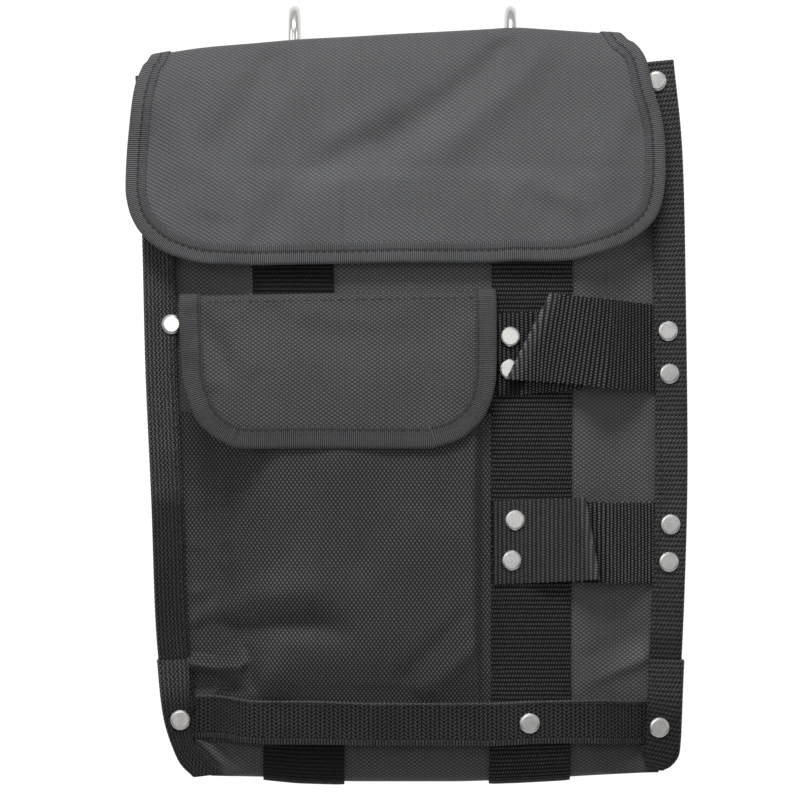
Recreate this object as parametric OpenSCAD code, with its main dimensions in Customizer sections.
// Hanging garden tool bag: a flat sewn envelope with a main flap, a front
// pocket with its own flap, two webbing tool loops, two load straps that run
// down the front, under the bottom and up the back to a pair of rod hooks,
// webbing-bound sides and tubular rivets. X is width, +Y is the back, +Z is up,
// and the straps' lowest point is at z = 0.
// Every layer is its own solid, with a small gap to the next.

/* [Bag body] */
// Height of the back panel at its right corner
body_h = 352; // [340:1:364]
// Width of the bag over the side bindings at its widest part
body_w = 275.8; // [268:0.1:284]
// Depth of the front panel at its fullest, measured from the back face
body_d = 20; // [18:0.5:22]
// Height of the main compartment's mouth
mouth_z = 298; // [292:1:302]
// Thickness of the coated body fabric
cloth_t = 1.2; // [1:0.1:1.4]

/* [Main flap] */
// Width of the main flap
flap_w = 264; // [256:0.5:266]
// Height of the main flap's lower edge
flap_z = 253.5; // [248:0.5:258]
// Corner radius of the main flap
flap_r = 30; // [22:1:36]
// Visible width of the edge tape on both flaps
tape_w = 10; // [8:0.5:12]

/* [Front pocket] */
// Width of the pocket flap
pflap_w = 157; // [150:0.5:158]
// Height of the pocket flap's lower edge
pflap_z = 163.7; // [160:0.1:168]
// Corner radius of the pocket flap
pflap_r = 24; // [18:1:28]
// Height of the pocket's mouth
pocket_z = 181; // [176:1:184]
// How far the pocket stands out from the back face
pocket_d = 33; // [32:0.5:33.5]

/* [Webbing] */
// Width of the load straps and tool loops
web_w = 40; // [38:0.5:40]
// Thickness of the webbing
web_t = 1.6; // [1.4:0.1:1.7]
// Visible width of the folded side binding
bind_w = 16; // [14:0.5:17]
// Centre of the left front strap
strap_l_x = -52.5; // [-55:0.5:-50]
// Centre of the right front strap
strap_r_x = 61.6; // [61:0.1:62]
// Height of the horizontal bottom band
band_h = 21.6; // [19:0.1:22]

/* [Hooks] */
// Diameter of the hook rod
rod_d = 5.5; // [5:0.1:6]
// Inside diameter of the hook's bend
hook_gap = 22.5; // [20:0.5:24]
// Length of the hook's straight tip
tip_l = 17; // [12:1:20]
// Centre of the left hook
hook_l_x = -56.1; // [-58:0.1:-54]
// Centre of the right hook
hook_r_x = 51.2; // [50:0.1:53]

/* [Rivets] */
// Diameter of the rivet caps
cap_d = 10; // [9:0.1:10]
// Height of the rivet caps
cap_h = 1.4; // [1.2:0.1:1.6]
// Diameter of the rivet posts
post_d = 3.2; // [3:0.1:3.4]

/* [Hidden] */
$fn = 48;

layer_gap = 0.06;
web_gap = 0.15;  // behind the back panel and between binding and patch
back_t = 1.6;
tape_t = 0.8;
flap_t = 1.4;
band_t = 1.3;
loop_t = 1.5;
rod_r = rod_d / 2;
cap_r = cap_d / 2;
post_r = post_d / 2;

// Limits of cutting shapes, past every edge of the bag.
reach_x = 200;
reach_z = 400;
reach_front = -60;

// The outlines below are drawn for a 275.8 x 352 bag and stretched by these.
scale_x = body_w / 275.8;
scale_z = body_h / 352;

// Outer edges of the bag, from the top corner to the bottom corner, as [x, z].
edge_left = [for (p = [[-134, 345], [-130.3, 261], [-128.9, 200], [-126.4, 138],
                       [-124.4, 75], [-120.6, 36], [-117.4, 24.5], [-112, 12.7],
                       [-103, 3]]) [p[0] * scale_x, p[1] * scale_z]];
edge_right = [for (p = [[131, 352], [135.5, 307], [137.2, 230], [137.9, 153],
                        [136.5, 95], [134.3, 45], [133.5, 18.6], [131.6, 10.8],
                        [126, 5]]) [p[0] * scale_x, p[1] * scale_z]];

back_inset = 2;     // back panel's edge inside the bag's outer edge
front_inset = 2.2;  // front panel's edge inside the bag's outer edge
panel_z = 1.5;      // lower edge of both panels
flange_back_y = -back_t - 0.2;
flange_front_y = flange_back_y - cloth_t;

// Front face of the front panel in the middle of the bag, as [y, z].
front_prof = [[-16.5, mouth_z], [-body_d + 1.5, 250], [-body_d + 0.5, 180],
              [-body_d, 60], [-body_d + 2, 18], [-13, 4], [-7, 0.2],
              [flange_back_y, panel_z]];
// Its side slopes, which rise from the side seams, as [x, y].
seam_left = -94.5 * scale_x;
seam_right = 117 * scale_x;
side_prof = [[seam_left - 12, flange_front_y], [seam_left, flange_front_y],
             [seam_left + 14, -7], [seam_left + 56, -32],
             [seam_right - 58, -32], [seam_right - 14, -6.5],
             [seam_right, flange_front_y], [seam_right + 8, flange_front_y]];

// Pocket front, as [y, z], and its side slopes, as [x, y].
pocket_low_z = 19;
pocket_floor_z = 41;
pocket_prof = [[-pocket_d + 1.5, pocket_z], [-pocket_d + 0.5, 150],
               [-pocket_d, 80], [-pocket_d + 2, 60], [-24.2, 44],
               [-22.8, pocket_floor_z], [-22.8, pocket_low_z]];
pocket_left = -95.2 * scale_x;
pocket_right = 36.9;
pocket_side = [[seam_left - 16, flange_front_y - 1.4],
               [pocket_left, flange_front_y - 1.4],
               [pocket_left + 31.6, -36], [27.4, -36],
               [pocket_right, -21.4], [40.8, -21.4]];

// Flap sections from the hinge line down, as [y, z].
flap_axis = [-6.6, 363];
pflap_axis = [-21.4, 240.5];
flap_prof = [flap_axis, [-12, 359.5], [-18.2, 345], [-22.3, 323],
             [-24.6, 290], [-25.2, flap_z - 4]];
pflap_prof = [pflap_axis, [-25.4, 229], [-31.2, 205], [-34.4, 182],
              [-pocket_d - 2, pflap_z - 4]];
tape_cover = 0.9;  // how far the tape's outer edge passes the flap's edge
flap_left = -body_w / 2;
flap_right = flap_left + flap_w;
pflap_left = -113.7 * scale_x;
pflap_right = pflap_left + pflap_w;
// Ends of the narrower part of the main flap at its hinge.
fold_left = -124 * scale_x;
fold_right = 114 * scale_x;

// Side binding: front and back faces.
bind_front_y = -8.2;
bind_back_y = web_gap + web_t;
patch_step = web_t + web_gap;  // corner patch's outside beyond the binding
patch_top_z = 60;
band_z = 19.6;

// Hooks: the eye's lower bar has its rod centre at [y, z].
rod_gap = 0.1;
turn_r = rod_r + rod_gap + web_t;  // outside of the strap round that bar
eye_at = [turn_r + web_gap, 316];
eye_w = web_w + 2;
eye_h = 14;
bend_r = hook_gap / 2 + rod_r;
bend_z = 383.5 - rod_r - bend_r;

// Middle of the depth, from the hooks' back to the pocket flap's front.
mid_y = (eye_at[0] + 2 * bend_r + rod_r - pocket_d - 2 - flap_t / 2 - tape_t) / 2;

// Rivet places, as [x, z]; the last two edge rivets also follow the height.
edge_pts = concat(
    [for (p = [[127.9, 221.5], [128.6, 200.5], [129.1, 126.5], [128.3, 108],
               [-115.9, 224.9]]) [p[0] * scale_x, p[1]]],
    [for (p = [[122.3, 344.3], [-125.2, 336]]) [p[0] * scale_x, p[1] * scale_z]]);
corner_pts = [[123.6 * scale_x, 26.8], [-111.5 * scale_x, 30.5]];
loop_pts = [[50.1, 218.5], [49.6, 202.5], [52.4, 129], [50.8, 109.3]];
band_pts = [[59.6, 29.8]];
hanger_pts = [for (x = [hook_l_x, hook_r_x], side = [-1, 1]) [x + side * 12, 291]];

// ---------- helpers ----------
function unit(v) = v / norm(v);
function right_of(d) = [d[1], -d[0]];
function reversed(path) = [for (i = [len(path) - 1 : -1 : 0]) path[i]];
function inner_points(path) = [for (i = [1 : len(path) - 2]) path[i]];
// Path shifted sideways by a distance, to its right, with mitred corners.
function shift_path(path, dist) =
    let (n = len(path) - 1)
    [for (i = [0 : n])
        let (before = unit(path[i == 0 ? 1 : i] - path[i == 0 ? 0 : i - 1]),
             after = unit(path[i == n ? n : i + 1] - path[i == n ? n - 1 : i]),
             normal = right_of(before),
             mitre = unit(normal + right_of(after)))
        path[i] + mitre * (dist / (mitre * normal))];
// Closed outline between two sideways shifts of a path.
function strip(path, from, to) =
    concat(shift_path(path, from), reversed(shift_path(path, to)));
// Closed outline of thickness t centred on a path.
function ribbon(path, t) = strip(path, -t / 2, t / 2);
// Y of the front panel's front face at height z.
function front_y(z) =
    lookup(z, [for (p = reversed(front_prof)) if (p[0] < -7.5) [p[1], p[0]]]);

// Extrudes an [x, z] shape from y0 to y1.
module slab(y0, y1)
    translate([0, y1, 0]) rotate([90, 0, 0]) linear_extrude(y1 - y0) children();
// Extrudes an [x, z] shape through the bag, from front to back.
module through_y() slab(reach_front, 5) children();
// Extrudes a [y, z] shape from x0 to x1.
module prism_x(x0, x1)
    translate([x0, 0, 0]) rotate([90, 0, 90]) linear_extrude(x1 - x0) children();
// Extrudes an [x, y] shape from z0 to z1.
module prism_z(z0, z1)
    translate([0, 0, z0]) linear_extrude(z1 - z0) children();
// Round bar along X.
module bar_x(r, length) rotate([0, 90, 0]) cylinder(r = r, h = length);
// Clearance holes for rivet posts, from the front to y = back.
module post_holes(points, back = 20)
    for (p = points)
        translate([p[0], back, p[1]]) rotate([90, 0, 0])
            cylinder(r = post_r + 0.1, h = back - reach_front);

// Outline of a panel, inset from the bag's outer edge.
module outline(inset = 0, top = reach_z, low = -10)
    intersection() {
        polygon(concat([for (p = edge_left) p + [inset, 0]],
                       [[-94 * scale_x, -12], [116 * scale_x, -12]],
                       reversed([for (p = edge_right) p - [inset, 0]])));
        translate([-reach_x, low]) square([2 * reach_x, top - low]);
    }
// Strip along a side edge, between two depths inside the outer edge.
// The last three stations step on a slant, [inwards, up] per unit of depth.
corner_slant = [[1.02, 0.12], [1.14, 0.05], [1.18, 0]];
module edge_strip(right, from, to) {
    edge = right ? edge_right : edge_left;
    inwards = right ? -1 : 1;
    n = len(edge) - 1;
    function slant(i) = i < n - 2 ? [1, 0] : corner_slant[i - n + 2];
    function inset(depth) =
        [for (i = [0 : n])
            edge[i] + depth * [inwards * slant(i)[0], slant(i)[1]]];
    polygon(concat(inset(from), reversed(inset(to))));
}

// ---------- body ----------
module back_panel() color([0.15, 0.15, 0.16]) difference() {
    union() {
        slab(-back_t, 0) outline(back_inset, low = panel_z);
        // raised middle that carries the main flap's fold
        slab(-back_t, 0) polygon([[fold_left, 330], [fold_left, 354],
                                  [fold_right, 354], [fold_right, 330]]);
        prism_x(fold_left, fold_right)
            polygon(ribbon([[-back_t / 2, 352], [-back_t / 2, 355],
                            flap_axis + [2.2, -2.2]], 1.6));
    }
    post_holes(concat(edge_pts, corner_pts, hanger_pts));
}

// Bulged front shell, open at the top and back. Its outside moves outwards by
// grow, its inside moves outwards by hollow, and it ends at height top.
module body_tray(grow, hollow, top) {
    inside = -cloth_t + hollow;
    difference() {
        intersection() {
            prism_x(-reach_x, reach_x) polygon(concat(
                shift_path(front_prof, grow),
                [[flange_back_y, -5], [flange_back_y + 0.01, reach_z],
                 [-20, reach_z]]));
            prism_z(-5, top) polygon(concat(
                shift_path(side_prof, grow),
                [[seam_right + 8, flange_back_y], [seam_left - 12, flange_back_y]]));
            through_y() outline(front_inset - grow);
        }
        intersection() {
            prism_x(-reach_x, reach_x) polygon(concat(
                shift_path(front_prof, inside),
                [[4, panel_z + cloth_t], [4, reach_z], [-20, reach_z]]));
            prism_z(-5, reach_z) polygon(concat(
                shift_path(inner_points(side_prof), inside),
                [[seam_right - 2.6, 4], [seam_left + 2.6, 4]]));
            through_y() outline(front_inset - inside);
        }
    }
}
module front_panel() color([0.16, 0.16, 0.17]) difference() {
    union() {
        body_tray(0, 0, mouth_z);
        // flat seam flanges that the side bindings hold
        slab(flange_front_y, flange_back_y) difference() {
            outline(front_inset, mouth_z, panel_z);
            translate([seam_left + 2, -10])
                square([seam_right - seam_left - 4, 500]);
        }
    }
    post_holes(concat(edge_pts, corner_pts, loop_pts, band_pts));
}
// Tape folded over the mouth's edge, inside and outside.
module compartment_hem() color([0.12, 0.12, 0.12]) intersection() {
    difference() {
        body_tray(tape_t + layer_gap, -tape_t - layer_gap, mouth_z + tape_t);
        body_tray(layer_gap, -layer_gap, mouth_z + layer_gap);
    }
    translate([seam_left + 2.1, reach_front, mouth_z - tape_w])
        cube([seam_right - seam_left - 4.2, 58 - layer_gap, tape_w + 2]);
}

// ---------- flaps ----------
// Flap outline with two round lower corners.
module flap_shape(x0, x1, z0, z1, r) {
    translate([x0, z0 + r]) square([x1 - x0, z1 - z0 - r]);
    translate([x0 + r, z0]) square([x1 - x0 - 2 * r, r + 1]);
    for (x = [x0 + r, x1 - r])
        translate([x, z0 + r]) circle(r = r);
}
// The same outline with its sides and bottom drawn in.
module inset_flap(x0, x1, z0, z1, r, inset)
    flap_shape(x0 + inset, x1 - inset, z0 + inset, z1, r - inset);
// Curved sheet across the whole width.
module flap_sheet(prof, t)
    prism_x(-reach_x, reach_x) polygon(ribbon(prof, t));
// Flap's cloth, from its taped outline; z1 is the cloth's top limit.
module flap_cloth(prof, x0, x1, z0, z1, r) intersection() {
    flap_sheet(prof, flap_t);
    through_y() inset_flap(x0, x1, z0, z1, r, tape_cover);
}
// Tape folded over a flap's sides and lower edge.
module flap_tape(prof, x0, x1, z0, z1, r) difference() {
    intersection() {
        flap_sheet(prof, flap_t + 2 * tape_t);
        through_y() difference() {
            flap_shape(x0, x1, z0, z1, r);
            inset_flap(x0, x1, z0, z1 + 20, r, tape_w);
        }
    }
    intersection() {
        flap_sheet(prof, flap_t + 2 * layer_gap);
        through_y() inset_flap(x0, x1, z0, z1 + 20, r, tape_cover - layer_gap);
    }
}

module main_flap() color([0.2, 0.2, 0.21]) union() {
    // narrower part up to the hinge
    intersection() {
        flap_cloth(flap_prof, flap_left, flap_right, flap_z, 390, flap_r);
        translate([fold_left, reach_front, 0])
            cube([fold_right - fold_left, 80, reach_z]);
    }
    flap_cloth(flap_prof, flap_left, flap_right, flap_z, 350, flap_r);
    translate([fold_left, flap_axis[0], flap_axis[1]])
        bar_x(1, fold_right - fold_left);
}
module main_flap_binding() color([0.13, 0.13, 0.13])
    flap_tape(flap_prof, flap_left, flap_right, flap_z, 349.5, flap_r);

module pocket_flap() color([0.18, 0.18, 0.19]) union() {
    flap_cloth(pflap_prof, pflap_left, pflap_right, pflap_z, 290, pflap_r);
    translate([pflap_left + tape_cover, pflap_axis[0], pflap_axis[1]])
        bar_x(0.9, pflap_w - 2 * tape_cover);
}
module pocket_flap_binding() color([0.13, 0.13, 0.13])
    flap_tape(pflap_prof, pflap_left, pflap_right, pflap_z, 236, pflap_r);

// ---------- front pocket ----------
// Pocket shell from z0 to z1; grow and hollow as in body_tray.
module pocket_tray(grow, hollow, z0, z1) {
    inside = -cloth_t + hollow;
    difference() {
        intersection() {
            prism_x(-reach_x, 60) polygon(concat(
                shift_path(pocket_prof, grow),
                [[-2, pocket_low_z], [-2, reach_z], [-24, reach_z]]));
            prism_z(z0, z1) polygon(concat(
                shift_path(pocket_side, grow),
                [[40.8, -20.1], [pocket_left + 17, -20.1],
                 [pocket_left, flange_front_y - 0.1],
                 [seam_left - 16, flange_front_y - 0.1]]));
        }
        intersection() {
            prism_x(-reach_x, 60) polygon(concat(
                shift_path([for (i = [0 : 5]) pocket_prof[i]], inside),
                [[-2, pocket_floor_z], [-2, reach_z], [-24, reach_z]]));
            prism_z(0, reach_z) polygon(concat(
                shift_path(inner_points(pocket_side), inside),
                [[pocket_right - 1.5, -2], [pocket_left + 1, -2]]));
        }
    }
}
module pocket_panel() color([0.14, 0.14, 0.15]) difference() {
    pocket_tray(0, 0, pocket_low_z, pocket_z);
    post_holes(corner_pts);
    // room for the left load strap behind the sewn bottom edge
    translate([-90, -21.2, 0]) cube([127, 4, 42]);
}
module pocket_hem() color([0.12, 0.12, 0.12]) intersection() {
    difference() {
        pocket_tray(tape_t + layer_gap, -tape_t - layer_gap, 100, pocket_z + tape_t);
        pocket_tray(layer_gap, -layer_gap, 100, pocket_z + layer_gap);
    }
    translate([pocket_left + 3, reach_front, pocket_z - tape_w])
        cube([pocket_right - 0.5 - pocket_left - 3, 60, tape_w + 2]);
}

// ---------- webbing ----------
// Load strap's run down the front and under the bottom, as [y, z].
strap_top_z = mouth_z - tape_w - 2;
strap_path = concat([[front_y(strap_top_z), strap_top_z]],
                    inner_points(front_prof), [[0, 1], [0, 12]]);
strap_low_z = min([for (p = shift_path(strap_path, web_t + layer_gap)) p[1]]);
// x is the strap's centre on the front, hook_x its centre at the hook.
module load_strap(x, hook_x, front_holes) color([0.08, 0.08, 0.08]) {
    half = web_w / 2;
    tail_y = 2 * web_t + web_gap;
    difference() {
        union() {
            prism_x(x - half, x + half)
                polygon(strip(strap_path, layer_gap, web_t + layer_gap));
            // up the back, slanting over to the hook
            slab(web_gap, web_gap + web_t)
                polygon([[x - half, 5], [x + half, 5], [x + half, 12],
                         [hook_x + half, 285], [hook_x + half, eye_at[1]],
                         [hook_x - half, eye_at[1]], [hook_x - half, 285],
                         [x - half, 12]]);
            // round the eye's lower bar and down behind itself
            prism_x(hook_x - half, hook_x + half) difference() {
                union() {
                    translate(eye_at) circle(r = turn_r);
                    polygon([[web_gap, eye_at[1]], [eye_at[0] + turn_r, eye_at[1]],
                             [tail_y, 298], [tail_y, 282], [web_gap, 282]]);
                }
                translate(eye_at) circle(r = rod_r + rod_gap);
                polygon([[web_gap + web_t, eye_at[1]],
                         [eye_at[0] + rod_r + rod_gap, eye_at[1]],
                         [web_gap + web_t, 300]]);
            }
        }
        post_holes(front_holes, -10);
        post_holes(hanger_pts);
    }
}
module load_strap_left() load_strap(strap_l_x, hook_l_x, []);
module load_strap_right()
    load_strap(strap_r_x, hook_r_x, concat(loop_pts, band_pts));

// Band's centre line from left to right, as [x, y].
band_path = [[-119 * scale_x, -5.4], [pocket_left - 0.4, -5.4],
             [pocket_left + 18, -23.8], [42, -23.8], [45, -22.2],
             [seam_right - 25, -22.2], [seam_right - 0.5, -5.4],
             [131 * scale_x, -5.4]];
module bottom_band() color([0.09, 0.09, 0.09]) difference() {
    intersection() {
        prism_z(band_z, band_z + band_h) polygon(ribbon(band_path, band_t));
        through_y() outline(web_t + 0.2);
    }
    post_holes(concat(corner_pts, band_pts));
}

// Webbing folded round the side edge.
module side_binding(right) color([0.1, 0.1, 0.1]) difference() {
    slab(bind_front_y, bind_back_y) edge_strip(right, 0, bind_w);
    slab(bind_front_y + web_t, web_gap) edge_strip(right, web_t, bind_w + 20);
    post_holes(concat(edge_pts, corner_pts));
}
module side_binding_left() side_binding(false);
module side_binding_right() side_binding(true);

// Second layer folded round the binding at the bottom corner.
module corner_patch(right) color([0.1, 0.1, 0.1]) difference() {
    intersection() {
        difference() {
            slab(bind_front_y - patch_step, bind_back_y + patch_step)
                edge_strip(right, -patch_step, bind_w + 0.8);
            slab(bind_front_y - web_gap, bind_back_y + web_gap)
                edge_strip(right, -web_gap, bind_w + 30);
        }
        translate([-reach_x, reach_front, -10])
            cube([2 * reach_x, 80, patch_top_z + 10]);
    }
    post_holes(corner_pts);
}
module corner_patch_left() corner_patch(false);
module corner_patch_right() corner_patch(true);

// Tool loops: flat webbing with its slack folded in a Z.
// Centre lines from left to right, as [x, y].
upper_loop_path = [[43.6, -22.2], [86, -22.2], [86, -24.1], [57.2, -24.1],
                   [57.2, -26], [seam_right - 22, -26], [seam_right + 3.2, -5],
                   [131.5 * scale_x, -5]];
lower_loop_path = [[43.6, -22.4], [60, -22.4], [66, -26], [89, -26],
                   [89, -24.1], [71, -24.1], [71, -22.4],
                   [seam_right - 20, -22.4], [seam_right + 3.2, -4.6],
                   [131.5 * scale_x, -4.6]];
module tool_loop(path, low_z) color([0.09, 0.09, 0.09]) difference() {
    prism_z(low_z, low_z + web_w) polygon(ribbon(path, loop_t));
    post_holes(concat(loop_pts, edge_pts));
}
module tool_loop_upper() tool_loop(upper_loop_path, 194);
module tool_loop_lower() tool_loop(lower_loop_path, 98.5);

// ---------- hooks ----------
module rod_bend(r, angle)
    rotate_extrude(angle = angle) translate([r, 0]) circle(r = rod_r);
module hook(x) color([0.75, 0.75, 0.76]) translate([x, eye_at[0], eye_at[1]]) {
    corner = 4;
    side_x = eye_w / 2 + rod_r;
    bar_end = side_x - corner;
    top = eye_h - corner;
    bend_rise = bend_z - eye_at[1];
    // rectangular eye
    for (z = [0, eye_h])
        translate([-bar_end, 0, z]) bar_x(rod_r, 2 * bar_end);
    for (side = [-1, 1])
        translate([side * side_x, 0, corner])
            cylinder(r = rod_r, h = eye_h - 2 * corner);
    // its corners, as [x, z, start angle]
    for (bend = [[bar_end, top, 0], [-bar_end, top, 90],
                 [-bar_end, corner, 180], [bar_end, corner, 270]])
        translate([bend[0], 0, bend[1]]) rotate([90, 0, 0])
            rotate([0, 0, bend[2]]) rod_bend(corner, 90);
    // shank, bend and tip
    translate([0, 0, eye_h]) cylinder(r = rod_r, h = bend_rise - eye_h);
    translate([0, bend_r, bend_rise]) rotate([90, 0, 90]) rod_bend(bend_r, 180);
    translate([0, 2 * bend_r, bend_rise - tip_l]) {
        cylinder(r = rod_r, h = tip_l);
        sphere(r = rod_r);
    }
}
module hook_left() hook(hook_l_x);
module hook_right() hook(hook_r_x);

// ---------- rivets ----------
// Moves a rivet part to [x, z] point p with its seat at y; its own Z points
// to the back for dir = 1 and to the front for dir = -1.
module at_seat(p, y, dir)
    translate([p[0], y, p[1]]) rotate([dir > 0 ? -90 : 90, 0, 0]) children();
// Cap and post: the post runs from the cap's seat towards dir.
module rivet(p, y, length, dir = 1) at_seat(p, y, dir) {
    translate([0, 0, -cap_h]) rotate_extrude() polygon(
        [[0, 0], [cap_r - 1.3, 0], [cap_r - 0.55, 0.22], [cap_r - 0.12, 0.62],
         [cap_r, 1.0], [cap_r, cap_h], [0, cap_h]]);
    cylinder(r = post_r, h = length);
}
// Back cap with a blind socket for the post's end.
module rivet_back(p, y, dir = 1) at_seat(p, y, dir) rotate_extrude()
    polygon([[0, 0.7], [post_r + 0.05, 0.7], [post_r + 0.05, 0],
             [cap_r - 0.5, 0], [cap_r - 0.6, 0.7], [cap_r - 1.6, 1.2], [0, 1.2]]);

// Y of the cap seats.
edge_seat = bind_front_y - layer_gap;
edge_back_seat = bind_back_y + layer_gap;
corner_seat = edge_seat - patch_step;
corner_back_seat = edge_back_seat + patch_step;
loop_seat = -23.25;
band_seat = -22.92;
hanger_seat = 2 * web_t + 0.2;
// Seat behind the front panel at height z, clear of its slope.
function inner_y(z) = front_y(z) + cloth_t * 1.03 + 0.16;
post_end = 0.6;  // post's length inside the back cap

module edge_rivets() color([0.78, 0.78, 0.78]) for (p = edge_pts)
    rivet(p, edge_seat, edge_back_seat - edge_seat + post_end);
module edge_rivet_backs() color([0.7, 0.7, 0.7]) for (p = edge_pts)
    rivet_back(p, edge_back_seat);
module corner_rivets() color([0.78, 0.78, 0.78]) for (p = corner_pts)
    rivet(p, corner_seat, corner_back_seat - corner_seat + post_end);
module corner_rivet_backs() color([0.7, 0.7, 0.7]) for (p = corner_pts)
    rivet_back(p, corner_back_seat);
module loop_rivets() color([0.78, 0.78, 0.78]) for (p = loop_pts)
    rivet(p, loop_seat, inner_y(p[1]) - loop_seat + post_end);
module loop_rivet_backs() color([0.7, 0.7, 0.7]) for (p = loop_pts)
    rivet_back(p, inner_y(p[1]));
// The panel slopes here, so heights near the cap's edges are used.
module band_rivet() color([0.78, 0.78, 0.78]) for (p = band_pts)
    rivet(p, band_seat, inner_y(p[1] + 4.6) - band_seat + 1);
module band_rivet_back() color([0.7, 0.7, 0.7]) for (p = band_pts)
    rivet_back(p, inner_y(p[1] - 4.6) + 0.1);
// Hanger rivets have their caps at the back.
module hanger_rivets() color([0.78, 0.78, 0.78]) for (p = hanger_pts)
    rivet(p, hanger_seat, 2 * web_t + back_t + 0.7, -1);
module hanger_rivet_backs() color([0.7, 0.7, 0.7]) for (p = hanger_pts)
    rivet_back(p, -back_t - layer_gap, -1);

// ---------- assembly ----------
module place() translate([0, -mid_y, -strap_low_z]) children();
place() back_panel();
place() front_panel();
place() compartment_hem();
place() main_flap();
place() main_flap_binding();
place() pocket_panel();
place() pocket_hem();
place() pocket_flap();
place() pocket_flap_binding();
place() load_strap_left();
place() load_strap_right();
place() bottom_band();
place() side_binding_left();
place() side_binding_right();
place() corner_patch_left();
place() corner_patch_right();
place() tool_loop_upper();
place() tool_loop_lower();
place() hook_left();
place() hook_right();
place() edge_rivets();
place() edge_rivet_backs();
place() corner_rivets();
place() corner_rivet_backs();
place() loop_rivets();
place() loop_rivet_backs();
place() band_rivet();
place() band_rivet_back();
place() hanger_rivets();
place() hanger_rivet_backs();
